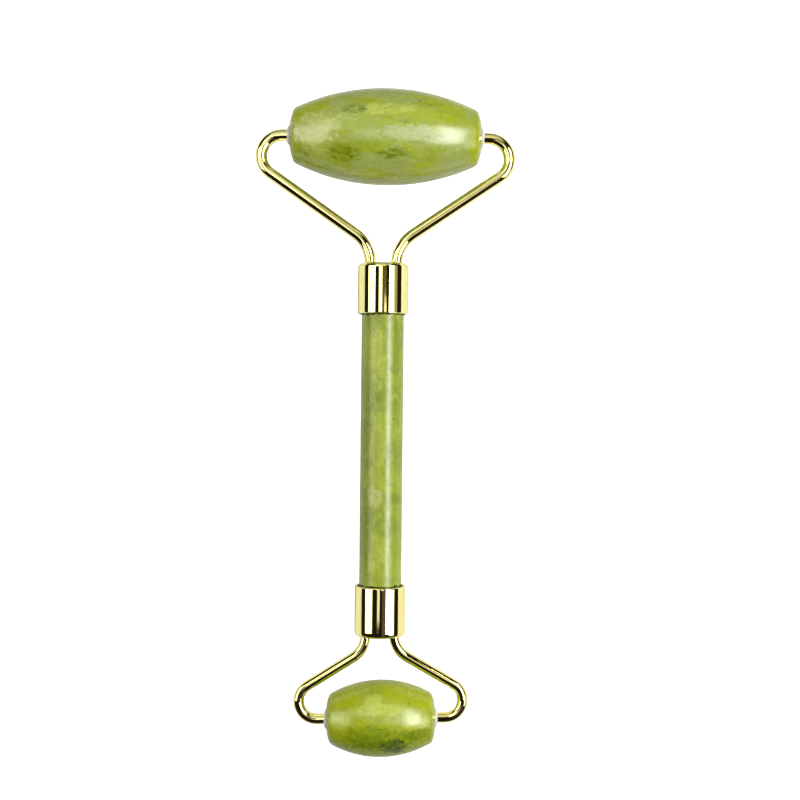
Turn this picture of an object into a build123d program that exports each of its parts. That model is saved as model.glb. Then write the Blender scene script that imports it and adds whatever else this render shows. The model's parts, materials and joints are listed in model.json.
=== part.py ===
from build123d import *
import math
import os

# Jade face roller, in millimetres.
#
# It lies on a table on its two stone rollers. X runs along the roller axles, +Y runs along the
# handle towards the large roller, and +Z is up. The origin is on the table, under the middle of
# the whole roller.
#
# A stone handle is cemented into a drawn metal ferrule at each end. Two bent wires, the arms, are
# brazed into the closed end of each ferrule, and their tips carry a barrel-shaped stone roller,
# which turns freely on two flanged plastic bushes.

# ---------------------------------------------------------------------------------------------
# Driving dimensions
# ---------------------------------------------------------------------------------------------

AXLE_SPACING = 125.9

# Stone rollers: half length, largest radius, and the corner where the end face begins.
LARGE_HALF_LENGTH = 20.7
LARGE_RADIUS = 10.4
LARGE_CORNER_X = 19.8
LARGE_CORNER_RADIUS = 5.85
SMALL_HALF_LENGTH = 11.75
SMALL_RADIUS = 8.3
SMALL_CORNER_X = 11.1
SMALL_CORNER_RADIUS = 5.3
STONE_CORNER_FILLET = 1.2
SPOT_FACE_RADIUS = 2.4
STONE_BORE_RADIUS = 1.7

# Bushes pressed into the stone rollers, each with a cone-shaped flange against the stone.
BUSH_LENGTH = 6.0
BUSH_FLANGE_RADIUS = 2.2
BUSH_FLANGE_TIP_RADIUS = 1.6
BUSH_FLANGE_EDGE = 0.1
BUSH_FLANGE_THICKNESS = 0.55
AXLE_CLEARANCE = 0.05

# Wire arms. Each inner bend starts at the ferrule's closed end.
WIRE_TAIL = 2.8
WIRE_TIP_CHAMFER = 0.25
TIP_DEPTH_IN_STONE = 5.0
LARGE_WIRE_RADIUS = 1.25
LARGE_HOLE_X = 2.85
LARGE_INNER_BEND = 7.6
LARGE_OUTER_BEND = 4.5
LARGE_OUTER_BEND_X = 22.3
SMALL_WIRE_RADIUS = 1.15
SMALL_HOLE_X = 3.15
SMALL_INNER_BEND = 5.4
SMALL_OUTER_BEND = 3.9
SMALL_OUTER_BEND_X = 13.9

# Hand bending leaves each yoke turned a little in its own plane, about its ferrule's closed end,
# with its roller moved towards +X. These are degrees.
LARGE_YOKE_TURN = 0.43
SMALL_YOKE_TURN = 1.3

# Ferrules: distance from the roller axis to the closed end, and the cup itself.
LARGE_FERRULE_REACH = 27.3
SMALL_FERRULE_REACH = 18.0
FERRULE_LENGTH = 10.9
FERRULE_RADIUS = 5.5
FERRULE_WALL = 0.6
FERRULE_END_WALL = 0.8
FERRULE_END_FILLET = 0.9
FERRULE_INSIDE_FILLET = 0.4
FERRULE_RIM_FILLET = 0.25
BRAZE_GAP = 0.05

# Stone handle and the cement that holds it.
HANDLE_RADIUS = 4.6
HANDLE_SOCKET_DEPTH = 7.6
HANDLE_CHAMFER = 0.5
CEMENT_RECESS = 0.3

# ---------------------------------------------------------------------------------------------
# Derived places
# ---------------------------------------------------------------------------------------------

# The handle leans down towards the small roller, so that both rollers touch the table.
LEAN = math.asin((LARGE_RADIUS - SMALL_RADIUS) / AXLE_SPACING)
OVERALL_LENGTH = LARGE_RADIUS + AXLE_SPACING * math.cos(LEAN) + SMALL_RADIUS
LARGE_AXIS_Y = OVERALL_LENGTH / 2 - LARGE_RADIUS
FERRULE_BORE = FERRULE_RADIUS - FERRULE_WALL

# The widest place is the large yoke's outer bends. The handle stands aside by as much as the
# yoke's turn moves them, so that the origin is under the middle of the whole roller.
HANDLE_X = -(LARGE_FERRULE_REACH - LARGE_OUTER_BEND) * math.sin(math.radians(LARGE_YOKE_TURN))

# Each end is drawn with its roller axis on X and the handle towards -Y. The small end is the
# mirror of such a drawing, moved down the handle.
HANDLE_FRAME = Location((HANDLE_X, LARGE_AXIS_Y, LARGE_RADIUS), (math.degrees(LEAN), 0, 0))
SMALL_END_SHIFT = Location((0, -AXLE_SPACING, 0))


def place_large(shape):
    """Move a piece of the large end to its place."""
    return HANDLE_FRAME * shape


def place_small(shape):
    """Mirror a piece of the small end and move it to its place."""
    return HANDLE_FRAME * SMALL_END_SHIFT * mirror(shape, about=Plane.XZ)


def yoke_turn(reach, degrees):
    """The turn of a yoke about the middle of its ferrule's closed end."""
    pivot = Location((0, -reach, 0))
    return pivot * Location((0, 0, 0), (0, 0, -degrees)) * pivot.inverse()


def turned(outline, axis, corners=()):
    """Revolve a closed outline of (x, y) points, with fillets given as (x, y, radius)."""
    profile = make_face(Polyline(*outline, close=True))
    for x, y, radius in corners:
        corner = profile.vertices().sort_by_distance((x, y))[0]
        profile = fillet(corner, radius)
    return revolve(profile, axis=axis)


# ---------------------------------------------------------------------------------------------
# Stone
# ---------------------------------------------------------------------------------------------


def roller_stone(half_length, radius, corner_x, corner_radius):
    """A barrel with domed ends, a bore right through and a flat spot face round each mouth."""
    dome_centre = (half_length**2 + SPOT_FACE_RADIUS**2 - corner_x**2 - corner_radius**2) / (
        2 * (half_length - corner_x)
    )
    dome_radius = math.hypot(half_length - dome_centre, SPOT_FACE_RADIUS)
    mid_angle = (
        math.atan2(SPOT_FACE_RADIUS, half_length - dome_centre)
        + math.atan2(corner_radius, corner_x - dome_centre)
    ) / 2
    dome_x = dome_centre + dome_radius * math.cos(mid_angle)
    dome_y = dome_radius * math.sin(mid_angle)

    bore_end = (half_length, STONE_BORE_RADIUS)
    spot_edge = (half_length, SPOT_FACE_RADIUS)
    corner = (corner_x, corner_radius)
    right = [
        Line(bore_end, spot_edge),
        ThreePointArc(spot_edge, (dome_x, dome_y), corner),
    ]
    left = [mirror(edge, about=Plane.YZ) for edge in right]
    barrel = ThreePointArc(corner, (0, radius), (-corner_x, corner_radius))
    bore = Line((-half_length, STONE_BORE_RADIUS), bore_end)
    profile = make_face([*right, barrel, *left, bore])
    for side in (1, -1):
        sharp = profile.vertices().sort_by_distance((side * corner_x, corner_radius))[0]
        profile = fillet(sharp, STONE_CORNER_FILLET)
    return revolve(profile, axis=Axis.X)


def handle_stone():
    """The polished rod between the two ferrules, in the handle's own frame."""
    top = -(LARGE_FERRULE_REACH + FERRULE_LENGTH - HANDLE_SOCKET_DEPTH)
    bottom = -(AXLE_SPACING - SMALL_FERRULE_REACH - FERRULE_LENGTH + HANDLE_SOCKET_DEPTH)
    rod = turned(
        [(0, bottom), (HANDLE_RADIUS, bottom), (HANDLE_RADIUS, top), (0, top)],
        Axis.Y,
    )
    return chamfer(rod.edges().filter_by(GeomType.CIRCLE), HANDLE_CHAMFER)


# ---------------------------------------------------------------------------------------------
# Metalwork
# ---------------------------------------------------------------------------------------------


def ferrule(reach, hole_x, wire_radius, turn):
    """A drawn cup with rounded corners and two holes for the wires in its closed end."""
    rim = -(reach + FERRULE_LENGTH)
    floor = -(reach + FERRULE_END_WALL)
    cup = turned(
        [
            (0, -reach),
            (FERRULE_RADIUS, -reach),
            (FERRULE_RADIUS, rim),
            (FERRULE_BORE, rim),
            (FERRULE_BORE, floor),
            (0, floor),
        ],
        Axis.Y,
        corners=[
            (FERRULE_RADIUS, -reach, FERRULE_END_FILLET),
            (FERRULE_RADIUS, rim, FERRULE_RIM_FILLET),
            (FERRULE_BORE, floor, FERRULE_INSIDE_FILLET),
        ],
    )
    drill = Rot(90, 0, 0) * Cylinder(wire_radius + BRAZE_GAP, 4 * FERRULE_END_WALL)
    holes = [turn * Pos(side * hole_x, -reach, 0) * drill for side in (1, -1)]
    return cup - holes


def right_arm(wire_radius, reach, hole_x, inner_bend, outer_bend, outer_bend_x, half_length):
    """A wire bent in one plane: tail, inner bend, straight run, outer bend and axle tip."""
    inner_centre_x = hole_x + inner_bend
    across = outer_bend_x - inner_centre_x
    along = reach - outer_bend
    # The straight run is the cross tangent of the two bends.
    slope = math.atan2(along, across) - math.asin(
        (inner_bend + outer_bend) / math.hypot(across, along)
    )
    run_end = (
        outer_bend_x + outer_bend * math.sin(slope),
        -outer_bend - outer_bend * math.cos(slope),
    )
    tail = Line((hole_x, -reach - WIRE_TAIL), (hole_x, -reach))
    neck = JernArc(tail @ 1, tail % 1, inner_bend, math.degrees(slope) - 90)
    run = Line(neck @ 1, run_end)
    elbow = JernArc(run @ 1, run % 1, outer_bend, 180 - math.degrees(slope))
    tip = Line(elbow @ 1, (half_length - TIP_DEPTH_IN_STONE, 0))
    path = Wire([tail, neck, run, elbow, tip])
    wire = sweep(Plane(path @ 0, z_dir=path % 0) * Circle(wire_radius), path=path)
    ends = wire.faces().filter_by(GeomType.PLANE).edges()
    return chamfer(ends, WIRE_TIP_CHAMFER)


# ---------------------------------------------------------------------------------------------
# Bushes and cement
# ---------------------------------------------------------------------------------------------


def right_bush(half_length, wire_radius):
    """A flanged sleeve that lines the stone's bore and carries the wire's tip."""
    bore = wire_radius + AXLE_CLEARANCE
    inner_end = half_length - BUSH_LENGTH
    outer_end = half_length + BUSH_FLANGE_THICKNESS
    return turned(
        [
            (inner_end, bore),
            (outer_end, bore),
            (outer_end, BUSH_FLANGE_TIP_RADIUS),
            (half_length + BUSH_FLANGE_EDGE, BUSH_FLANGE_RADIUS),
            (half_length, BUSH_FLANGE_RADIUS),
            (half_length, STONE_BORE_RADIUS),
            (inner_end, STONE_BORE_RADIUS),
        ],
        Axis.X,
    )


def cement_fill(reach, arms):
    """The slug behind the stone and the thin sleeve round it, cast round the wires' tails."""
    floor = -(reach + FERRULE_END_WALL)
    stone_end = -(reach + FERRULE_LENGTH - HANDLE_SOCKET_DEPTH)
    lip = -(reach + FERRULE_LENGTH - CEMENT_RECESS)
    cast = turned(
        [
            (0, floor),
            (FERRULE_BORE, floor),
            (FERRULE_BORE, lip),
            (HANDLE_RADIUS, lip),
            (HANDLE_RADIUS, stone_end - HANDLE_CHAMFER),
            (HANDLE_RADIUS - HANDLE_CHAMFER, stone_end),
            (0, stone_end),
        ],
        Axis.Y,
        corners=[(FERRULE_BORE, floor, FERRULE_INSIDE_FILLET)],
    )
    return cast - arms


# ---------------------------------------------------------------------------------------------
# Assembly: one dictionary entry per node
# ---------------------------------------------------------------------------------------------


def end_pieces(size, place, stone_sizes, wire_radius, turn_degrees, reach, hole_x, *bends):
    """All the pieces of one end, named after its size and placed."""
    half_length = stone_sizes[0]
    turn = yoke_turn(reach, turn_degrees)
    right = {
        "arm": right_arm(wire_radius, reach, hole_x, *bends, half_length),
        "bush": right_bush(half_length, wire_radius),
    }
    pieces = {f"{size}_roller_stone": turn * roller_stone(*stone_sizes)}
    for kind, piece in right.items():
        pieces[f"{size}_right_{kind}"] = turn * piece
        pieces[f"{size}_left_{kind}"] = turn * mirror(piece, about=Plane.YZ)
    arms = [pieces[f"{size}_{side}_arm"] for side in ("left", "right")]
    pieces[f"{size}_ferrule"] = ferrule(reach, hole_x, wire_radius, turn)
    pieces[f"{size}_cement_fill"] = cement_fill(reach, arms)
    return {name: place(piece) for name, piece in pieces.items()}


nodes = {"handle_stone": place_large(handle_stone())}
nodes.update(
    end_pieces(
        "large",
        place_large,
        (LARGE_HALF_LENGTH, LARGE_RADIUS, LARGE_CORNER_X, LARGE_CORNER_RADIUS),
        LARGE_WIRE_RADIUS,
        LARGE_YOKE_TURN,
        LARGE_FERRULE_REACH,
        LARGE_HOLE_X,
        LARGE_INNER_BEND,
        LARGE_OUTER_BEND,
        LARGE_OUTER_BEND_X,
    )
)
nodes.update(
    end_pieces(
        "small",
        place_small,
        (SMALL_HALF_LENGTH, SMALL_RADIUS, SMALL_CORNER_X, SMALL_CORNER_RADIUS),
        SMALL_WIRE_RADIUS,
        SMALL_YOKE_TURN,
        SMALL_FERRULE_REACH,
        SMALL_HOLE_X,
        SMALL_INNER_BEND,
        SMALL_OUTER_BEND,
        SMALL_OUTER_BEND_X,
    )
)

os.makedirs("parts", exist_ok=True)
for name, piece in nodes.items():
    export_step(piece, f"parts/{name}.step")
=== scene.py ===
import json
import math

import bmesh
import bpy
import numpy as np
from mathutils import Matrix, Vector, noise


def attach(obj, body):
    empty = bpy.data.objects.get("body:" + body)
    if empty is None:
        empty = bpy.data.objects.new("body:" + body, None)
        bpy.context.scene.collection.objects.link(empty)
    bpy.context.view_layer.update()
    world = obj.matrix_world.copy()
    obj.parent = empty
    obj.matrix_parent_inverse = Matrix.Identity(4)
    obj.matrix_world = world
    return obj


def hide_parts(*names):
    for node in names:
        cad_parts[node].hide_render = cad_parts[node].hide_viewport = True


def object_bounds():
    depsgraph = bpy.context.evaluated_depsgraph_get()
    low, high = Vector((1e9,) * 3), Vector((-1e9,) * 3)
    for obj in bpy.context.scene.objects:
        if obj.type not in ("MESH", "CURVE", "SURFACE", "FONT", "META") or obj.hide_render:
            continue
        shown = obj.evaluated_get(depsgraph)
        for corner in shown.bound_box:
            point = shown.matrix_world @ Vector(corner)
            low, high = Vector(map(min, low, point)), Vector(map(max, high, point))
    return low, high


# The looks of a jade face roller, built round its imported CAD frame. Lengths are in metres.

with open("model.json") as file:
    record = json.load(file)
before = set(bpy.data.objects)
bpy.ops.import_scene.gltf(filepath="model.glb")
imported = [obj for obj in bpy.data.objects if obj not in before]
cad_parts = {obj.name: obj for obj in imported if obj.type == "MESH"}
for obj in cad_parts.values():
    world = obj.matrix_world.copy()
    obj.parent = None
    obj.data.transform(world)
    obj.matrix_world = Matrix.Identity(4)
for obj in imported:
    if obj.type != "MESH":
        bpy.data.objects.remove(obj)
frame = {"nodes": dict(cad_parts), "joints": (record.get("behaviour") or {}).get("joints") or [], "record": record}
cad_low, cad_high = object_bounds()

MM = 0.001

# ---------------------------------------------------------------------------------------------
# Places taken from the frame
# ---------------------------------------------------------------------------------------------


def named(rows, name):
    return next(row for row in rows if row["name"] == name)


def axes_matrix(origin, x_axis, y_axis):
    """The transform of a frame whose third axis is square to the two given."""
    z_axis = x_axis.cross(y_axis)
    turn = Matrix((x_axis, y_axis, z_axis)).transposed().to_4x4()
    return Matrix.Translation(origin) @ turn


def yoke_frame(size, away):
    """Origin on a roller's joint, X along its axle, Y away from the handle."""
    joint = named(frame["joints"], f"{size}_roller_spin")
    x_axis = Vector(joint["axis"]).normalized()
    y_axis = (away - away.dot(x_axis) * x_axis).normalized()
    return axes_matrix(Vector(joint["pos_m"]), x_axis, y_axis)


GRIP = named(frame["record"]["mounts"], "handle_grip")
HANDLE_MIDDLE = Vector(GRIP["pos_m"])
ALONG_HANDLE = Vector(GRIP["axis"]).normalized()
ACROSS = Vector((1, 0, 0))

# Where each barrel's end face begins, as (inset from the end, radius).
BARREL_CORNERS = {"large": (0.9 * MM, 5.85 * MM), "small": (0.65 * MM, 5.3 * MM)}

# Each yoke, with its roller, is turned a little from the handle, so it has a frame of its own.
YOKE_FRAMES = {
    "large": yoke_frame("large", ALONG_HANDLE),
    "small": yoke_frame("small", -ALONG_HANDLE),
}
HANDLE_FRAMES = {
    "large": axes_matrix(HANDLE_MIDDLE, ACROSS, ALONG_HANDLE),
    "small": axes_matrix(HANDLE_MIDDLE, ACROSS, -ALONG_HANDLE),
}


def local_box(node, matrix):
    """(lowest, highest) corner of a CAD node, measured in another frame."""
    back = matrix.inverted()
    points = np.array([back @ v.co for v in frame["nodes"][node].data.vertices])
    return Vector(points.min(0)), Vector(points.max(0))


# ---------------------------------------------------------------------------------------------
# Mesh helpers
# ---------------------------------------------------------------------------------------------


def new_piece(name, vertices, faces, body, replaces=()):
    """A closed, smooth-shaded mesh piece that rides on a body and stands for CAD nodes."""
    mesh = bpy.data.meshes.new(name)
    mesh.from_pydata([tuple(v) for v in vertices], [], faces)
    work = bmesh.new()
    work.from_mesh(mesh)
    bmesh.ops.recalc_face_normals(work, faces=work.faces)
    work.to_mesh(mesh)
    work.free()
    mesh.shade_smooth()
    piece = bpy.data.objects.new(name, mesh)
    bpy.context.scene.collection.objects.link(piece)
    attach(piece, body)
    if replaces:
        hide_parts(*replaces)
    return piece


def rounded(points, radii, steps=8):
    """A closed outline with each corner rounded by its own radius (0 leaves it sharp)."""
    outline = []
    count = len(points)
    for i, radius in enumerate(radii):
        corner = Vector(points[i])
        if radius <= 0:
            outline.append(tuple(corner))
            continue
        before = (Vector(points[i - 1]) - corner).normalized()
        after = (Vector(points[(i + 1) % count]) - corner).normalized()
        half = before.angle(after) / 2
        centre = corner + (before + after).normalized() * radius / math.sin(half)
        start = corner + before * radius / math.tan(half) - centre
        end = corner + after * radius / math.tan(half) - centre
        sweep = start.angle_signed(end)
        for k in range(steps + 1):
            angle = -sweep * k / steps
            turned = Matrix.Rotation(angle, 2) @ start
            outline.append(tuple(centre + turned))
    return outline


def split_long(outline, longest):
    """Adds points to a closed outline so that no edge is longer than the given length."""
    points = []
    for i, start in enumerate(outline):
        start, end = Vector(start), Vector(outline[(i + 1) % len(outline)])
        count = max(1, math.ceil((end - start).length / longest))
        points += [tuple(start.lerp(end, k / count)) for k in range(count)]
    return points


def lathe(outline, matrix, axis, segments, wobble=None):
    """Turns a closed (along, radius) outline round the X or Y axis of a frame.

    wobble(along, angle, radius) gives each point's own radius."""
    vertices = []
    rings = len(outline)
    for s in range(segments):
        angle = 2 * math.pi * s / segments
        for along, radius in outline:
            r = wobble(along, angle, radius) if wobble else radius
            u, v = r * math.cos(angle), r * math.sin(angle)
            local = Vector((along, u, v)) if axis == "X" else Vector((v, along, u))
            vertices.append(matrix @ local)
    faces = []
    for s in range(segments):
        t = (s + 1) % segments
        for k in range(rings):
            m = (k + 1) % rings
            faces.append((s * rings + k, s * rings + m, t * rings + m, t * rings + k))
    return vertices, faces


def tube(path, normal, radii, segments):
    """A closed round tube, with a radius for each point of a path that is square to normal."""
    vertices, faces = [], []
    for i, point in enumerate(path):
        before, after = path[max(i - 1, 0)], path[min(i + 1, len(path) - 1)]
        heading = (after - before).normalized()
        side = normal.cross(heading)
        for s in range(segments):
            angle = 2 * math.pi * s / segments
            out = math.cos(angle) * side + math.sin(angle) * normal
            vertices.append(point + radii[i] * out)
    for i in range(len(path) - 1):
        for s in range(segments):
            t = (s + 1) % segments
            a, b = i * segments, (i + 1) * segments
            faces.append((a + s, a + t, b + t, b + s))
    faces.append(tuple(range(segments)))
    faces.append(tuple(range(len(path) * segments - segments, len(path) * segments)))
    return vertices, faces


# ---------------------------------------------------------------------------------------------
# Shader helpers
# ---------------------------------------------------------------------------------------------


def linear(red, green, blue):
    """A display colour, 0 to 255, as linear light."""
    return tuple(
        (c / 255 / 12.92) if c / 255 <= 0.04045 else ((c / 255 + 0.055) / 1.055) ** 2.4
        for c in (red, green, blue)
    ) + (1.0,)


class Shader:
    """A node material with a Principled surface, and short calls to add nodes to it."""

    def __init__(self, name):
        self.material = bpy.data.materials.new(name)
        self.material.use_nodes = True
        self.tree = self.material.node_tree
        self.surface = self.tree.nodes["Principled BSDF"]
        self.place = self.tree.nodes.new("ShaderNodeTexCoord").outputs["Object"]

    def link(self, source, target):
        self.tree.links.new(source, target)

    def feed(self, socket, value):
        """Sets a socket to a number, colour or vector, or links another socket to it."""
        if isinstance(value, bpy.types.NodeSocket):
            self.link(value, socket)
        else:
            socket.default_value = value

    def scaled(self, scale, offset=(0, 0, 0)):
        """The piece's own coordinates, moved by an offset and stretched."""
        node = self.tree.nodes.new("ShaderNodeMapping")
        self.link(self.place, node.inputs["Vector"])
        node.inputs["Scale"].default_value = scale
        node.inputs["Location"].default_value = offset
        return node.outputs["Vector"]

    def noise(self, place, scale, detail=3.0, roughness=0.5, distortion=0.0):
        node = self.tree.nodes.new("ShaderNodeTexNoise")
        self.link(place, node.inputs["Vector"])
        node.inputs["Scale"].default_value = scale
        node.inputs["Detail"].default_value = detail
        node.inputs["Roughness"].default_value = roughness
        node.inputs["Distortion"].default_value = distortion
        return node.outputs["Fac"]

    def cells(self, place, scale):
        """Distance to the nearest of many scattered points."""
        node = self.tree.nodes.new("ShaderNodeTexVoronoi")
        self.link(place, node.inputs["Vector"])
        node.inputs["Scale"].default_value = scale
        return node.outputs["Distance"]

    def ramp(self, value, low, high, to_low=0.0, to_high=1.0):
        """A smooth step from low to high."""
        node = self.tree.nodes.new("ShaderNodeMapRange")
        node.interpolation_type = "SMOOTHSTEP"
        self.feed(node.inputs["Value"], value)
        node.inputs["From Min"].default_value = low
        node.inputs["From Max"].default_value = high
        node.inputs["To Min"].default_value = to_low
        node.inputs["To Max"].default_value = to_high
        return node.outputs["Result"]

    def math(self, operation, a, b=0.0):
        node = self.tree.nodes.new("ShaderNodeMath")
        node.operation = operation
        self.feed(node.inputs[0], a)
        self.feed(node.inputs[1], b)
        return node.outputs[0]

    def mix(self, factor, a, b, blend="MIX"):
        node = self.tree.nodes.new("ShaderNodeMix")
        node.data_type = "RGBA"
        node.blend_type = blend
        self.feed(node.inputs[0], factor)
        self.feed(node.inputs[6], a)
        self.feed(node.inputs[7], b)
        return node.outputs[2]

    def depth_in(self, centre, radii):
        """1 at the centre of an ellipsoid of the row frame, 0 at its skin, negative outside."""
        node = self.tree.nodes.new("ShaderNodeVectorMath")
        node.operation = "SUBTRACT"
        self.link(self.place, node.inputs[0])
        node.inputs[1].default_value = centre
        shrink = self.tree.nodes.new("ShaderNodeVectorMath")
        shrink.operation = "DIVIDE"
        self.link(node.outputs[0], shrink.inputs[0])
        shrink.inputs[1].default_value = radii
        length = self.tree.nodes.new("ShaderNodeVectorMath")
        length.operation = "LENGTH"
        self.link(shrink.outputs[0], length.inputs[0])
        return self.math("SUBTRACT", 1.0, length.outputs["Value"])

    def bump(self, height, depth, strength=1.0, below=None):
        node = self.tree.nodes.new("ShaderNodeBump")
        self.link(height, node.inputs["Height"])
        node.inputs["Distance"].default_value = depth
        node.inputs["Strength"].default_value = strength
        if below is not None:
            self.link(below, node.inputs["Normal"])
        return node.outputs["Normal"]

    def set(self, **values):
        for name, value in values.items():
            self.feed(self.surface.inputs[name.replace("_", " ")], value)


# ---------------------------------------------------------------------------------------------
# Jade
# ---------------------------------------------------------------------------------------------

LIME = linear(150, 164, 38)
# Pale lime is the stone's own tone, and on the small roller it also paints a highlight.
PALE_LIME_AND_HIGHLIGHT = linear(186, 198, 84)
CHARTREUSE = linear(160, 171, 5)
GREY_GREEN = linear(155, 167, 86)
# Cream is the stone's own tone, and on the rollers it also paints highlights.
CREAM_AND_HIGHLIGHT = linear(202, 206, 136)
# A milky colour painted on the large roller as a highlight.
PAINTED_HIGHLIGHT = linear(206, 212, 170)
OLIVE = linear(126, 140, 22)
MOSS = linear(102, 120, 12)
LEAF = linear(94, 124, 10)
SLATE_GREEN = linear(68, 92, 34)


def barrel_arc(size):
    """(radius of the barrel's profile arc, largest radius, half length) of a roller stone."""
    high = local_box(f"{size}_roller_stone", YOKE_FRAMES[size])[1]
    inset, corner_radius = BARREL_CORNERS[size]
    drop = high.y - corner_radius
    return ((high.x - inset) ** 2 + drop**2) / (2 * drop), high.y, high.x


def on_roller(size, along, degrees):
    """A place on a roller, by its distance along the axle and its angle from the top to +Y."""
    arc_radius, radius = barrel_arc(size)[:2]
    along *= MM
    out = radius - arc_radius + math.sqrt(arc_radius**2 - along**2)
    matrix = YOKE_FRAMES[size]
    axle = matrix.col[0].xyz
    up = axle.cross(ALONG_HANDLE).normalized()
    ahead = up.cross(axle)
    angle = math.radians(degrees)
    return matrix.translation + axle * along + out * (math.cos(angle) * up + math.sin(angle) * ahead)


def on_handle(along, degrees):
    """A place on the handle, by its distance from the middle and its angle from the top to +X."""
    up = ACROSS.cross(ALONG_HANDLE)
    angle = math.radians(degrees)
    out = math.sin(angle) * ACROSS + math.cos(angle) * up
    return HANDLE_MIDDLE + along * MM * ALONG_HANDLE + handle_radius() * out


def handle_radius():
    return local_box("handle_stone", HANDLE_FRAMES["large"])[1].x


# The noise behind each layer of the stone: scale per metre, detail, roughness, distortion.
CLOUDS = (170, 4, 0.55, 0.8)
RAGGED_EDGES = (520, 7, 0.72, 0.9)
WISPS = (420, 6, 0.65, 1.5)
SHADOWS = (300, 6, 0.66, 1.2)
BLOTS = (760, 5, 0.7, 0.6)
GRAIN = (1500, 4, 0.7)
CRUMBS = (1050, 5, 0.7, 0.8)
EDGE_RAGGEDNESS = 2.4
WISP_STRENGTH = 0.42
SHADOW_STRENGTH = 0.4
GRAIN_SHADE = (0.90, 1.08)
SPECKS_PER_METRE = 800
SPECK_STRENGTH = 0.5
JADE_IOR = 1.62
JADE_SCATTER = 0.2
JADE_SCATTER_DEPTH = 1.0 * MM
JADE_SCATTER_COLOUR = (0.9, 1.0, 0.3)
POLISHING_WAVES = 0.15 * MM
POLISHING_GRAIN = 0.01 * MM


def add_patches(s, place, colour, patches):
    """Clouds with ragged edges, some of them painted highlights, each given as (centre, radii in mm, colour,
    strength).
    """
    edges = s.math("SUBTRACT", s.noise(place, *RAGGED_EDGES), 0.5)
    ragged = s.math("MULTIPLY", edges, EDGE_RAGGEDNESS)
    for centre, radii, tint, strength in patches:
        deep = s.depth_in(centre, [r * MM for r in radii])
        spread = s.ramp(s.math("ADD", deep, ragged), 0.05, 0.38, 0.0, strength)
        inside = s.math("MULTIPLY", spread, s.ramp(deep, -0.35, 0.1))
        colour = s.mix(inside, colour, tint)
    return colour


def add_mottling(s, place, colour, mottle):
    """Fine wisps, shadows, blots and grain over the whole stone."""
    wisps = s.ramp(s.noise(place, *WISPS), 0.53, 0.68, 0.0, WISP_STRENGTH)
    colour = s.mix(wisps, colour, PALE_LIME_AND_HIGHLIGHT)
    shadows = s.ramp(s.noise(place, *SHADOWS), 0.48, 0.32, 0.0, SHADOW_STRENGTH)
    colour = s.mix(shadows, colour, OLIVE)
    blots = s.ramp(s.noise(place, *BLOTS), 0.49, 0.60, 0.0, mottle)
    colour = s.mix(blots, colour, CHARTREUSE)
    grain = s.ramp(s.noise(place, *GRAIN), 0.3, 0.7, *GRAIN_SHADE)
    return s.mix(1.0, colour, grain, "MULTIPLY")


def add_specks(s, place, colour, specks):
    """Crumbly dark clusters, each given as (centre, radii in mm, strength), and stray specks."""
    crumbs = s.ramp(s.noise(place, *CRUMBS), 0.44, 0.58)
    for centre, radii, strength in specks:
        deep = s.depth_in(centre, [r * MM for r in radii])
        inside = s.math("MULTIPLY", crumbs, s.ramp(deep, 0.0, 0.6, 0.0, strength))
        colour = s.mix(inside, colour, MOSS)
    cluster = s.ramp(s.noise(place, 230, 2), 0.56, 0.66)
    speck = s.ramp(s.cells(place, SPECKS_PER_METRE), 0.32, 0.10)
    stray = s.math("MULTIPLY", s.math("MULTIPLY", cluster, speck), SPECK_STRENGTH)
    return s.mix(stray, colour, MOSS)


def jade_material(name, shift, streaks, greens, mottle, gloss, patches, specks):
    """Polished stone with clouds of two greens, placed patches, mottling and dark specks. Some patches paint
    highlights.

    shift and streaks move and stretch its noise. mottle is the strength of its fine yellow
    blots, and gloss is its (least, most) roughness."""
    s = Shader(name)
    place = s.scaled(streaks, shift)
    clouds = s.ramp(s.noise(place, *CLOUDS), 0.40, 0.62)
    colour = s.mix(clouds, *greens)
    colour = add_patches(s, place, colour, patches)
    colour = add_mottling(s, place, colour, mottle)
    colour = add_specks(s, place, colour, specks)
    s.set(Base_Color=colour)
    s.set(Roughness=s.ramp(s.noise(place, 380, 4), 0.3, 0.7, *gloss))
    s.set(IOR=JADE_IOR, Subsurface_Weight=JADE_SCATTER, Subsurface_Scale=JADE_SCATTER_DEPTH)
    s.set(Subsurface_Radius=JADE_SCATTER_COLOUR)
    waves = s.bump(s.noise(place, 240, 2), POLISHING_WAVES, 0.6)
    s.set(Normal=s.bump(s.noise(place, 1400, 3), POLISHING_GRAIN, 0.5, waves))
    return s.material


# ---------------------------------------------------------------------------------------------
# Metal, plastic and cement
# ---------------------------------------------------------------------------------------------


GOLD = linear(252, 243, 162)
SMUDGED_GOLD = linear(248, 235, 148)
HAIRLINE_DEPTH = 0.0004 * MM
MILKY = (linear(253, 253, 240), linear(247, 247, 228))
BUSH_SCATTER_DEPTH = 1.2 * MM
BUSH_SCATTER_COLOUR = (1.0, 1.0, 0.8)
BUSH_GRAIN = 0.01 * MM
AMBER = (linear(30, 30, 1), linear(72, 76, 8))
CEMENT_IOR = 1.4
CEMENT_WRINKLES = 0.04 * MM


def gold_material(name, stretch, ripple):
    """Bright plating with hairline polishing marks, small dull smudges and soft ripples."""
    s = Shader(name)
    fine = s.scaled(stretch)
    smudges = s.noise(s.place, 350, 4, 0.6)
    s.set(Base_Color=s.mix(s.ramp(smudges, 0.45, 0.75), GOLD, SMUDGED_GOLD), Metallic=1.0)
    hairlines = s.noise(fine, 2500, 2)
    smudge_dullness = s.ramp(smudges, 0.5, 0.8, 0.04, 0.08)
    hairline_dullness = s.ramp(hairlines, 0.4, 0.8, 0.0, 0.02)
    s.set(Roughness=s.math("ADD", smudge_dullness, hairline_dullness))
    ripples = s.bump(s.noise(s.place, 160, 1), ripple, 0.5)
    s.set(Normal=s.bump(hairlines, HAIRLINE_DEPTH, 0.3, ripples))
    return s.material


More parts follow.
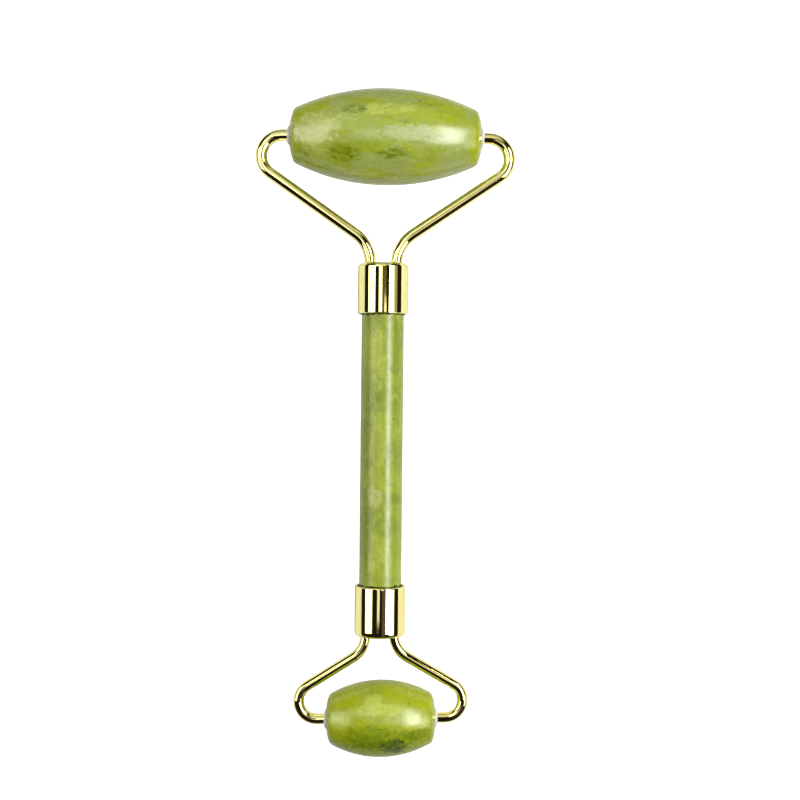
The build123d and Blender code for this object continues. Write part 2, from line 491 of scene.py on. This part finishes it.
def bush_material():
    """Milky, translucent moulded plastic."""
    s = Shader("bush_plastic")
    cloud = s.noise(s.place, 900, 3)
    s.set(Base_Color=s.mix(cloud, *MILKY))
    s.set(Roughness=s.ramp(s.noise(s.place, 3000, 2), 0.3, 0.7, 0.35, 0.5))
    s.set(Subsurface_Weight=1.0, Subsurface_Scale=BUSH_SCATTER_DEPTH)
    s.set(Subsurface_Radius=BUSH_SCATTER_COLOUR)
    s.set(Normal=s.bump(s.noise(s.place, 5000, 2), BUSH_GRAIN, 0.4))
    return s.material


def cement_material():
    """Dark amber adhesive with a skin that wrinkled as it set."""
    s = Shader("cement")
    cloud = s.noise(s.place, 1200, 4)
    s.set(Base_Color=s.mix(cloud, *AMBER))
    s.set(Roughness=s.ramp(cloud, 0.3, 0.7, 0.45, 0.65), IOR=CEMENT_IOR)
    s.set(Normal=s.bump(s.noise(s.place, 2500, 3), CEMENT_WRINKLES, 0.7))
    return s.material


# ---------------------------------------------------------------------------------------------
# Stone pieces
# ---------------------------------------------------------------------------------------------

SPOT_FACE_RADIUS = 2.4 * MM
STONE_BORE_RADIUS = 1.7 * MM
STONE_SEGMENTS = 192
ROD_SEGMENTS = 160
CORNER_WEAR = 0.45 * MM
WORN_STEP = 0.1 * MM
BARREL_STEP = 0.15 * MM
DOME_BULGE = 0.12 * MM
DOME_STEPS = 20
GRINDING_WOBBLE = 0.05 * MM
# Inside this radius the grinding fades out, so the bores stay round.
GRINDING_FADE = 4 * MM
HANDLE_EDGE_RADIUS = 0.5 * MM
# A pinhole's radius that stands for the axis of a solid turned piece.
CORE = 0.01 * MM
# Where each stone's grinding waves start.
WAVE_STARTS = {"large": 1.7, "small": 4.1, "handle": 7.3}


def barrel_outline(size):
    """A (along, radius) loop: barrel arc, domed ends, spot faces and bore, corners worn round."""
    arc_radius, radius, half_length = barrel_arc(size)
    inset, corner_radius = BARREL_CORNERS[size]
    corner_x = half_length - inset
    count = math.ceil(corner_x / BARREL_STEP)
    barrel = []
    for k in range(-count, count + 1):
        x = corner_x * k / count
        barrel.append((x, radius - arc_radius + math.sqrt(arc_radius**2 - x**2)))
    dome = []
    for k in range(1, DOME_STEPS):
        t = k / DOME_STEPS
        x = corner_x + inset * t + DOME_BULGE * math.sin(math.pi * t)
        dome.append((x, corner_radius + (SPOT_FACE_RADIUS - corner_radius) * t))
    right = dome + [(half_length, SPOT_FACE_RADIUS)]
    left = [(-x, r) for x, r in reversed(right)]
    outer = worn(left + barrel + right, CORNER_WEAR)
    return [(-half_length, STONE_BORE_RADIUS)] + outer + [(half_length, STONE_BORE_RADIUS)]


def worn(line, reach):
    """An open line with its corners rounded by averaging over a short reach of its length."""
    points = np.array(line)
    gaps = np.hypot(*np.diff(points, axis=0).T)
    length = np.concatenate([[0], np.cumsum(gaps)])
    even = np.linspace(0, length[-1], int(length[-1] / WORN_STEP))
    smooth = []
    for at in even:
        width = min(reach, at, length[-1] - at) + 1e-9
        near = np.linspace(at - 2 * width, at + 2 * width, 33)
        weight = np.exp(-0.5 * ((near - at) / width) ** 2)
        x = np.interp(near, length, points[:, 0])
        r = np.interp(near, length, points[:, 1])
        total = weight.sum()
        smooth.append((float((x * weight).sum() / total), float((r * weight).sum() / total)))
    return smooth


def hand_ground(seed):
    """A wobble that takes a little off the radius, in slow waves, as hand grinding does."""

    def wobble(along, angle, radius):
        spot = Vector((along * 90, math.cos(angle) * 0.9, math.sin(angle) * 0.9 + seed))
        depth = 0.5 + 0.5 * noise.noise(spot)
        return radius - GRINDING_WOBBLE * depth * min(1, radius / GRINDING_FADE)

    return wobble


def roller_stone(size, material):
    wobble = hand_ground(WAVE_STARTS[size])
    vertices, faces = lathe(barrel_outline(size), YOKE_FRAMES[size], "X", STONE_SEGMENTS, wobble)
    stone = new_piece(
        f"{size}_barrel", vertices, faces, f"{size}_roller", [f"{size}_roller_stone"]
    )
    stone.data.materials.append(material)


def handle_rod(material):
    matrix = HANDLE_FRAMES["large"]
    low, high = local_box("handle_stone", matrix)
    outline = rounded(
        [(low.y, CORE), (low.y, high.x), (high.y, high.x), (high.y, CORE)],
        [0, HANDLE_EDGE_RADIUS, HANDLE_EDGE_RADIUS, 0],
    )
    outline = split_long(outline, 0.6 * MM)
    wobble = hand_ground(WAVE_STARTS["handle"])
    vertices, faces = lathe(outline, matrix, "Y", ROD_SEGMENTS, wobble)
    rod = new_piece("handle_rod", vertices, faces, "handle_frame", ["handle_stone"])
    rod.data.materials.append(material)


# ---------------------------------------------------------------------------------------------
# Metal pieces
# ---------------------------------------------------------------------------------------------

# The radii of each wire's centreline at its inner bend and its outer bend.
BENDS = {"large": (7.6 * MM, 4.5 * MM), "small": (5.4 * MM, 3.9 * MM)}
WIRE_CHAMFER = 0.25 * MM
FERRULE_WALL = 0.6 * MM
FERRULE_END_WALL = 0.8 * MM
FERRULE_END_FILLET = 0.9 * MM
FERRULE_INSIDE_FILLET = 0.4 * MM
FERRULE_RIM_FILLET = 0.25 * MM
FERRULE_LIP_FILLET = 0.1 * MM
WIRE_SEGMENTS = 48
BRAZE_FILLET = 0.35 * MM
# How far each braze ring is sunk into the wire and into the ferrule.
BRAZE_SINK = 0.1 * MM


def arc(centre, radius, start_angle, end_angle, count):
    """Points of an arc in the XY plane of an end frame, without its first point."""
    points = []
    for k in range(1, count + 1):
        angle = start_angle + (end_angle - start_angle) * k / count
        points.append(centre + radius * Vector((math.cos(angle), math.sin(angle), 0)))
    return points


def run(start, end, longest):
    """Points of a straight run, without its first point."""
    count = max(1, math.ceil((end - start).length / longest))
    return [start.lerp(end, k / count) for k in range(1, count + 1)]


def arm_path(size, tail_y, tip_x, hole_x, face_y, outermost_x):
    """The right arm's centreline in its end frame: tail, inner bend, run, outer bend, tip."""
    inner, outer = BENDS[size]
    inner_centre = Vector((hole_x + inner, face_y, 0))
    outer_centre = Vector((outermost_x - outer, -outer, 0))
    between = outer_centre - inner_centre
    slope = math.atan2(between.y, between.x) - math.asin((inner + outer) / between.length)
    path = [Vector((hole_x, tail_y, 0))]
    path += run(path[-1], Vector((hole_x, face_y, 0)), 0.5 * MM)
    path += arc(inner_centre, inner, math.pi, math.pi / 2 + slope, 24)
    turn_start = slope - math.pi / 2
    start_of_bend = outer_centre + outer * Vector((math.cos(turn_start), math.sin(turn_start), 0))
    path += run(path[-1], start_of_bend, 0.8 * MM)
    path += arc(outer_centre, outer, turn_start, math.pi / 2, 48)
    path += run(path[-1], Vector((tip_x, 0, 0)), 0.8 * MM)
    return path


def ferrule_face(size):
    """The middle of a ferrule's closed end, in the row frame."""
    matrix = HANDLE_FRAMES[size]
    return matrix @ Vector((0, local_box(f"{size}_ferrule", matrix)[1].y, 0))


def arm_facts(size):
    """A right arm's (wire radius, tail end, tip end, hole, face, outermost x) in its yoke frame."""
    matrix = YOKE_FRAMES[size]
    back = matrix.inverted()
    low, high = local_box(f"{size}_right_arm", matrix)
    points = [back @ v.co for v in frame["nodes"][f"{size}_right_arm"].data.vertices]
    radius = high.y
    tail = [p.x for p in points if p.y < low.y + 0.001 * MM]
    tip_x = min(p.x for p in points if p.y > -radius)
    face_y = (back @ ferrule_face(size)).y
    return radius, low.y, tip_x, sum(tail) / len(tail), face_y, high.x - radius


def chamfered(path, radius):
    """A path with a point added near each end, and its radii, for a chamfer at both ends."""
    first = path[0] + (path[1] - path[0]).normalized() * WIRE_CHAMFER
    last = path[-1] + (path[-2] - path[-1]).normalized() * WIRE_CHAMFER
    longer = [path[0], first] + path[1:-1] + [last, path[-1]]
    end = radius - WIRE_CHAMFER
    return longer, [end] + [radius] * (len(longer) - 2) + [end]


def wire_arms(size, material):
    """Both arms of an end, and the braze fillets where they leave the ferrule."""
    matrix = YOKE_FRAMES[size]
    normal = matrix.to_3x3() @ Vector((0, 0, 1))
    radius, tail_y, tip_x, hole_x, face_y, outermost_x = arm_facts(size)
    right, radii = chamfered(arm_path(size, tail_y, tip_x, hole_x, face_y, outermost_x), radius)
    for side, sign in (("right", 1), ("left", -1)):
        placed = [matrix @ Vector((sign * p.x, p.y, 0)) for p in right]
        vertices, faces = tube(placed, normal, radii, WIRE_SEGMENTS)
        arm = new_piece(
            f"{size}_{side}_wire", vertices, faces, "handle_frame",
            [f"{size}_{side}_arm"],
        )
        arm.data.materials.append(material)
        foot = matrix @ Vector((sign * hole_x, face_y, 0))
        braze_fillet(size, side, foot, radius, material)


def braze_fillet(size, side, foot, wire_radius, material):
    """A small concave ring of braze metal round a wire where it enters the ferrule."""
    matrix = HANDLE_FRAMES[size]
    foot = matrix.inverted() @ foot
    foot.y = (matrix.inverted() @ ferrule_face(size)).y
    root = -BRAZE_SINK
    outline = [(root, wire_radius - BRAZE_SINK)]
    for k in range(9):
        angle = math.pi / 2 * k / 8
        height = BRAZE_FILLET * (1 - math.sin(angle))
        out = wire_radius + BRAZE_FILLET * (1 - math.cos(angle))
        outline.append((height, out))
    outline.append((root, wire_radius + BRAZE_FILLET))
    vertices, faces = lathe(outline, matrix @ Matrix.Translation(foot), "Y", WIRE_SEGMENTS)
    ring = new_piece(f"{size}_{side}_braze", vertices, faces, "handle_frame")
    ring.data.materials.append(material)


def ferrule_cup(size, material):
    matrix = HANDLE_FRAMES[size]
    node = f"{size}_ferrule"
    low, high = local_box(node, matrix)
    radius = high.x
    bore = radius - FERRULE_WALL
    floor = high.y - FERRULE_END_WALL
    outside = [(high.y, CORE), (high.y, radius), (low.y, radius)]
    inside = [(low.y, bore), (floor, bore), (floor, CORE)]
    fillets = [0, FERRULE_END_FILLET, FERRULE_RIM_FILLET, FERRULE_LIP_FILLET, FERRULE_INSIDE_FILLET, 0]
    outline = split_long(rounded(outside + inside, fillets), 0.5 * MM)
    vertices, faces = lathe(outline, matrix, "Y", ROD_SEGMENTS)
    cup = new_piece(f"{size}_cup", vertices, faces, "handle_frame", [node])
    cup.data.materials.append(material)


# ---------------------------------------------------------------------------------------------
# Bushes and cement
# ---------------------------------------------------------------------------------------------


FLANGE_TIP_RADIUS = 1.6 * MM
FLANGE_EDGE = 0.1 * MM
AXLE_CLEARANCE = 0.05 * MM
BUSH_SEGMENTS = 64


def bush(size, side, material):
    """A sleeve in the stone's bore with a cone-shaped flange, its edges slightly rounded."""
    matrix = YOKE_FRAMES[size]
    node = f"{size}_{side}_bush"
    low, high = local_box(node, matrix)
    sign = 1 if side == "right" else -1
    inner_end, outer_end = sorted((abs(low.x), abs(high.x)))
    stone_end = barrel_arc(size)[2]
    bore = arm_facts(size)[0] + AXLE_CLEARANCE
    outline = rounded(
        [
            (sign * inner_end, bore),
            (sign * outer_end, bore),
            (sign * outer_end, FLANGE_TIP_RADIUS),
            (sign * (stone_end + FLANGE_EDGE), high.y),
            (sign * stone_end, high.y),
            (sign * stone_end, STONE_BORE_RADIUS),
            (sign * inner_end, STONE_BORE_RADIUS),
        ],
        [0.05 * MM, 0.08 * MM, 0.1 * MM, 0.05 * MM, 0, 0, 0.1 * MM],
        5,
    )
    vertices, faces = lathe(outline, matrix, "X", BUSH_SEGMENTS)
    piece = new_piece(f"{size}_{side}_sleeve", vertices, faces, f"{size}_roller", [node])
    piece.data.materials.append(material)


# The least and most that the squeezed-out adhesive stands past the ferrule's rim.
CEMENT_CREEP = (-0.12 * MM, 0.62 * MM)
# The adhesive's even outline stands this far past the rim, before the creep makes it uneven.
CEMENT_EVEN = 0.4 * MM
CEMENT_DEPTH = 3 * MM
CEMENT_WAVE = 0.9 * MM


def cement_bead(size, material, seed):
    """The ring of adhesive between the stone and the ferrule's rim, squeezed out unevenly."""
    matrix = HANDLE_FRAMES[size]
    low = local_box(f"{size}_cement_fill", matrix)[0]
    rim = local_box(f"{size}_ferrule", matrix)[0].y
    bore = local_box(f"{size}_cement_fill", matrix)[1].x
    stone = handle_radius()
    under = stone - 0.1 * MM
    inside = low.y + CEMENT_DEPTH
    outline = [(inside, under), (inside, bore), (rim + 0.1 * MM, bore)]
    outline += [(rim - 0.02 * MM, bore + 0.05 * MM), (rim - 0.3 * MM, stone + 0.12 * MM)]
    outline += [(rim - CEMENT_EVEN, stone + 0.03 * MM), (rim - 0.42 * MM, under)]
    vertices, faces = lathe(outline, matrix, "Y", ROD_SEGMENTS)
    least, most = CEMENT_CREEP
    back = matrix.inverted()
    for i, v in enumerate(vertices):
        if i % len(outline) >= 4:
            local = back @ v
            spot = Vector((local.x, local.z, 0)) / CEMENT_WAVE + Vector((0, 0, seed))
            creep = least + (most - least) * (0.5 + 0.5 * noise.noise(spot))
            local.y = rim + (local.y - rim) * creep / CEMENT_EVEN
            vertices[i] = matrix @ local
    piece = new_piece(
        f"{size}_cement_bead", vertices, faces, "handle_frame", [f"{size}_cement_fill"]
    )
    piece.data.materials.append(material)


# ---------------------------------------------------------------------------------------------
# The object
# ---------------------------------------------------------------------------------------------

LARGE_PATCHES = [
    (on_roller("large", -2, 60), (10, 3, 3), GREY_GREEN, 0.85),
    (on_roller("large", -15.5, 55), (7, 3.5, 3.5), CHARTREUSE, 0.9),
    (on_roller("large", 12, 50), (10, 3, 3), CHARTREUSE, 0.8),
    (on_roller("large", -1, 26), (12, 1.6, 3), PALE_LIME_AND_HIGHLIGHT, 0.6),
    (on_roller("large", 9, 20), (9, 1.3, 3), CHARTREUSE, 0.6),
    # Partly the stone's cream tone, partly a painted reflection of the left lamp at the roller's left end.
    (on_roller("large", -15.5, 3), (7, 4.2, 4), CREAM_AND_HIGHLIGHT, 0.6),
    # Painted highlight: a milky patch that carries the key lamp's highlight further towards the roller's middle.
    (on_roller("large", 5.5, -3), (8, 2.4, 3), PAINTED_HIGHLIGHT, 0.42),
    (on_roller("large", -15, -35), (6, 4, 4), PALE_LIME_AND_HIGHLIGHT, 0.3),
    (on_roller("large", -5, -20), (9, 1.6, 3), LIME, 0.8),
    (on_roller("large", 1, -45), (11, 3.4, 3), GREY_GREEN, 1.0),
    (on_roller("large", 15, -30), (6, 3, 3), GREY_GREEN, 0.6),
    (on_roller("large", 19, -30), (1.5, 6, 6), CHARTREUSE, 0.9),
    (on_roller("large", 8, -52), (5, 2, 3), CHARTREUSE, 0.7),
    (on_roller("large", -3, -60), (4, 2, 3), CHARTREUSE, 0.6),
    (on_roller("large", -9, -29), (4.0, 2.0, 3), OLIVE, 0.65),
    (on_roller("large", -6.5, 27), (3.4, 1.1, 2), OLIVE, 0.5),
    (on_roller("large", 1.5, -28), (3.4, 1.2, 2), OLIVE, 0.4),
    (on_roller("large", 7.7, 16), (0.6, 0.4, 0.6), CHARTREUSE, 1.0),
]
LARGE_SPECKS = [
    (on_roller("large", -9.0, -30), (5.5, 2.6, 3), 1.0),
    (on_roller("large", -6.5, 27), (4.5, 1.8, 2), 0.9),
    (on_roller("large", 1.5, -28), (4.5, 1.8, 2), 0.9),
    (on_roller("large", 10.5, -8), (3, 0.8, 2), 0.6),
    (on_roller("large", -17, -42), (3, 2.5, 3), 0.6),
    (on_roller("large", 9, 42), (4, 1.5, 2), 0.6),
]
SMALL_PATCHES = [
    (on_roller("small", -7, 45), (4.4, 4.2, 5), CHARTREUSE, 1.0),
    (on_roller("small", 3, 46), (3.2, 4.2, 5), CHARTREUSE, 1.0),
    (on_roller("small", 9, 40), (2.6, 3.2, 4), CHARTREUSE, 0.7),
    (on_roller("small", -1.6, 34), (2.6, 2.8, 3), PALE_LIME_AND_HIGHLIGHT, 0.75),
    (on_roller("small", 1, 24), (9, 1.5, 3), PALE_LIME_AND_HIGHLIGHT, 0.75),
    # A painted highlight in pale lime where the left lamp's highlight falls on the small roller.
    (on_roller("small", -9, 6), (3, 2.4, 3), PALE_LIME_AND_HIGHLIGHT, 0.9),
    (on_roller("small", 7.5, 6), (4, 2.0, 3), PALE_LIME_AND_HIGHLIGHT, 0.6),
    # A faint painted highlight, mottling the key lamp's highlight on the small roller.
    (on_roller("small", 3, 10), (3.4, 1.4, 2), CREAM_AND_HIGHLIGHT, 0.25),
    (on_roller("small", -8, -24), (5, 3, 3), CHARTREUSE, 0.8),
    (on_roller("small", -1, -22), (10, 3.4, 4), LEAF, 0.65),
    (on_roller("small", 3, -36), (4, 2.4, 3), SLATE_GREEN, 1.0),
    (on_roller("small", 8, -20), (4, 1.8, 2), LEAF, 0.35),
]
SMALL_SPECKS = [
    (on_roller("small", -3, -30), (8, 3, 3), 0.8),
    (on_roller("small", 8, -20), (4, 2, 2), 0.6),
]
HANDLE_PATCHES = [
    (on_handle(20, -14), (2.0, 8, 3), PALE_LIME_AND_HIGHLIGHT, 0.4),
    (on_handle(2, -12), (2.0, 6, 3), PALE_LIME_AND_HIGHLIGHT, 0.35),
    (on_handle(-10, -20), (2.2, 3, 3), CREAM_AND_HIGHLIGHT, 0.45),
    (on_handle(-22, -16), (2.2, 5, 3), PALE_LIME_AND_HIGHLIGHT, 0.35),
    (on_handle(24, 50), (2, 5, 3), OLIVE, 0.5),
    (on_handle(12, 48), (2.4, 6, 3), OLIVE, 0.5),
    (on_handle(-1, 46), (2, 3, 3), OLIVE, 0.5),
    (on_handle(-18, 48), (2.4, 8, 3), OLIVE, 0.4),
    (on_handle(6, -46), (1.4, 12, 3), OLIVE, 0.7),
    (on_handle(-16, -48), (1.6, 12, 3), OLIVE, 0.7),
]
HANDLE_SPECKS = [
    (on_handle(17.5, 40), (2.4, 0.8, 2), 1.0),
    (on_handle(6, 40), (2, 1.5, 2), 0.8),
    (on_handle(-11, 44), (2, 2, 2), 0.6),
    (on_handle(10, -25), (2, 6, 2), 0.4),
]
large_jade = jade_material(
    "jade_large", (0.31, 0.17, 0.05), (0.6, 1, 1), (LIME, GREY_GREEN), 0.1, (0.19, 0.27),
    LARGE_PATCHES, LARGE_SPECKS,
)
small_jade = jade_material(
    "jade_small", (0.93, 0.61, 0.33), (0.9, 1, 1), (LIME, CHARTREUSE), 0.45, (0.25, 0.33),
    SMALL_PATCHES, SMALL_SPECKS,
)
handle_jade = jade_material(
    "jade_handle", (0.57, 0.29, 0.71), (1, 0.75, 1), (LIME, OLIVE), 0.25, (0.29, 0.36),
    HANDLE_PATCHES, HANDLE_SPECKS,
)
cup_gold = gold_material("gold_plating", (1, 0.05, 1), 0.02 * MM)
wire_gold = gold_material("gold_wire", (1, 1, 1), 0.01 * MM)
plastic = bush_material()
cement = cement_material()

roller_stone("large", large_jade)
roller_stone("small", small_jade)
handle_rod(handle_jade)
for end in ("large", "small"):
    ferrule_cup(end, cup_gold)
    wire_arms(end, wire_gold)
    for side in ("left", "right"):
        bush(end, side, plastic)
cement_bead("large", cement, 2.0)
cement_bead("small", cement, 5.0)

# ---------------------------------------------------------------------------------------------
# Floor, light and camera
# ---------------------------------------------------------------------------------------------

FIELD_WIDTH = 0.1732
LENS = 70.0
SENSOR = 36.0
CAMERA_X = 3.71 * MM
CAMERA_Y = 5.14 * MM
CAMERA_ROLL = math.radians(0.60)


def add_camera():
    data = bpy.data.cameras.new("camera")
    data.lens = LENS
    data.sensor_width = SENSOR
    data.clip_start = 0.01
    camera = bpy.data.objects.new("camera", data)
    bpy.context.scene.collection.objects.link(camera)
    axle_height = (YOKE_FRAMES["large"].translation.z + YOKE_FRAMES["small"].translation.z) / 2
    camera.location = (CAMERA_X, CAMERA_Y, axle_height + FIELD_WIDTH * LENS / SENSOR)
    camera.rotation_euler = (0, 0, CAMERA_ROLL)
    bpy.context.scene.camera = camera


# The lit part of the floor has these radii, and the shade has fallen off at POOL_FADE radii.
POOL_RADII = (1.0, 0.075, 1.0)
POOL_FADE = 1.35
POOL_SHADE = 0.8
OUTER_SHADE = 0.3
FLOOR_GLOW = 0.85
FLOOR_HALF_SIZE = 4.0
FLOOR_GAP = 0.02 * MM


def add_floor():
    """A pale table that glows a little for the camera, and is darker past the object's ends."""
    half = FLOOR_HALF_SIZE
    corners = [(-half, -half, 0), (half, -half, 0), (half, half, 0), (-half, half, 0)]
    mesh = bpy.data.meshes.new("floor")
    mesh.from_pydata(corners, [], [(0, 1, 2, 3)])
    floor = bpy.data.objects.new("floor", mesh)
    floor.location.z = cad_low.z - FLOOR_GAP
    bpy.context.scene.collection.objects.link(floor)
    s = Shader("floor")
    path = s.tree.nodes.new("ShaderNodeLightPath")
    glow = s.ramp(path.outputs["Is Camera Ray"], 0.0, 1.0, 0.0, FLOOR_GLOW)
    pool = s.math("SUBTRACT", 1.0, s.depth_in((0, 0, 0), POOL_RADII))
    shade = s.ramp(pool, 1.0, POOL_FADE, POOL_SHADE, OUTER_SHADE)
    s.set(Base_Color=shade, Roughness=0.9, Specular_IOR_Level=0.0)
    s.set(Emission_Color=(1, 1, 1, 1), Emission_Strength=glow)
    mesh.materials.append(s.material)


LIGHT_DISTANCE = 0.6
WHITE = (1, 1, 1)
WARM = (1, 0.78, 0.27)
ROSE = (1, 0.62, 0.9)


def area_light(name, width, height, radiance, colour=WHITE):
    """A rectangular light whose energy gives its surface the stated radiance."""
    data = bpy.data.lights.new(name, "AREA")
    data.shape = "RECTANGLE"
    data.size = width
    data.size_y = height
    data.energy = radiance * math.pi * data.size * data.size_y
    data.color = colour
    light = bpy.data.objects.new(name, data)
    bpy.context.scene.collection.objects.link(light)
    return light


def softbox(name, azimuth, low, high, span, radiance, shift=(0, 0, 0), colour=WHITE):
    """A rectangular light that faces the object, then is shifted sideways.

    azimuth turns from +X towards +Y. low and high are its edges' angles from straight up."""
    height = 2 * LIGHT_DISTANCE * math.tan(math.radians(high - low) / 2)
    light = area_light(name, span, height, radiance, colour)
    a, p = math.radians(azimuth), math.radians((low + high) / 2)
    way = Vector((math.cos(a) * math.sin(p), math.sin(a) * math.sin(p), math.cos(p)))
    light.location = way * LIGHT_DISTANCE + Vector(shift)
    light.rotation_euler = way.to_track_quat("Z", "Y").to_euler()


def overhead(name, low_x, high_x, low_y, high_y, radiance):
    """A level rectangular light at the lights' distance above the object."""
    light = area_light(name, high_x - low_x, high_y - low_y, radiance)
    light.location = ((low_x + high_x) / 2, (low_y + high_y) / 2, LIGHT_DISTANCE)


STUDIO_DARK = (0.012, 0.010, 0.008, 1)
STUDIO_PALE = (0.9, 0.9, 0.9, 1)


def add_world():
    """Dark studio round the lights for reflections, pale where the camera looks past the floor."""
    world = bpy.data.worlds.new("studio")
    bpy.context.scene.world = world
    world.use_nodes = True
    tree = world.node_tree
    background = tree.nodes["Background"]
    path = tree.nodes.new("ShaderNodeLightPath")
    mix = tree.nodes.new("ShaderNodeMix")
    mix.data_type = "RGBA"
    tree.links.new(path.outputs["Is Camera Ray"], mix.inputs[0])
    mix.inputs[6].default_value = STUDIO_DARK
    mix.inputs[7].default_value = STUDIO_PALE
    tree.links.new(mix.outputs[2], background.inputs["Color"])


add_floor()
softbox("key", 0, 28, 45, 0.46, 12.5, (0, 0.05, 0))
softbox("key_spill", 0, 45, 54, 0.46, 0.9, (0, 0.15, 0))
softbox("key_dusk", 0, 54, 66, 0.46, 0.33, (0, 0.15, 0))
softbox("key_near", 0, 45, 66, 0.24, 3.0, (0, -0.2, 0))
softbox("left_box", 180, 35, 68, 0.44, 2.6, (0, 0.05, 0))
softbox("strip", 180, 4, 18, 0.18, 2.6, (0, 0.07, 0))
softbox("strip_near", 180, 1, 12, 0.127, 0.95, (0, -0.0835, 0))
softbox("far_panel", 90, 36, 75, 0.60, 0.6)
softbox("ceiling_far", 0, -3, 15, 0.34, 0.11, (0, 0.19, 0), WARM)
softbox("ceiling_near", 0, 10, 27, 0.40, 0.09, (0, -0.22, 0), ROSE)
overhead("left_high", -0.46, -0.20, 0.13, 0.50, 1.6)
overhead("far_low", -0.25, 0.13, 0.18, 0.44, 0.85)
overhead("gap_light", 0.06, 0.17, -0.09, 0.045, 1.2)
add_world()
add_camera()
bpy.context.scene.view_settings.view_transform = "Standard"
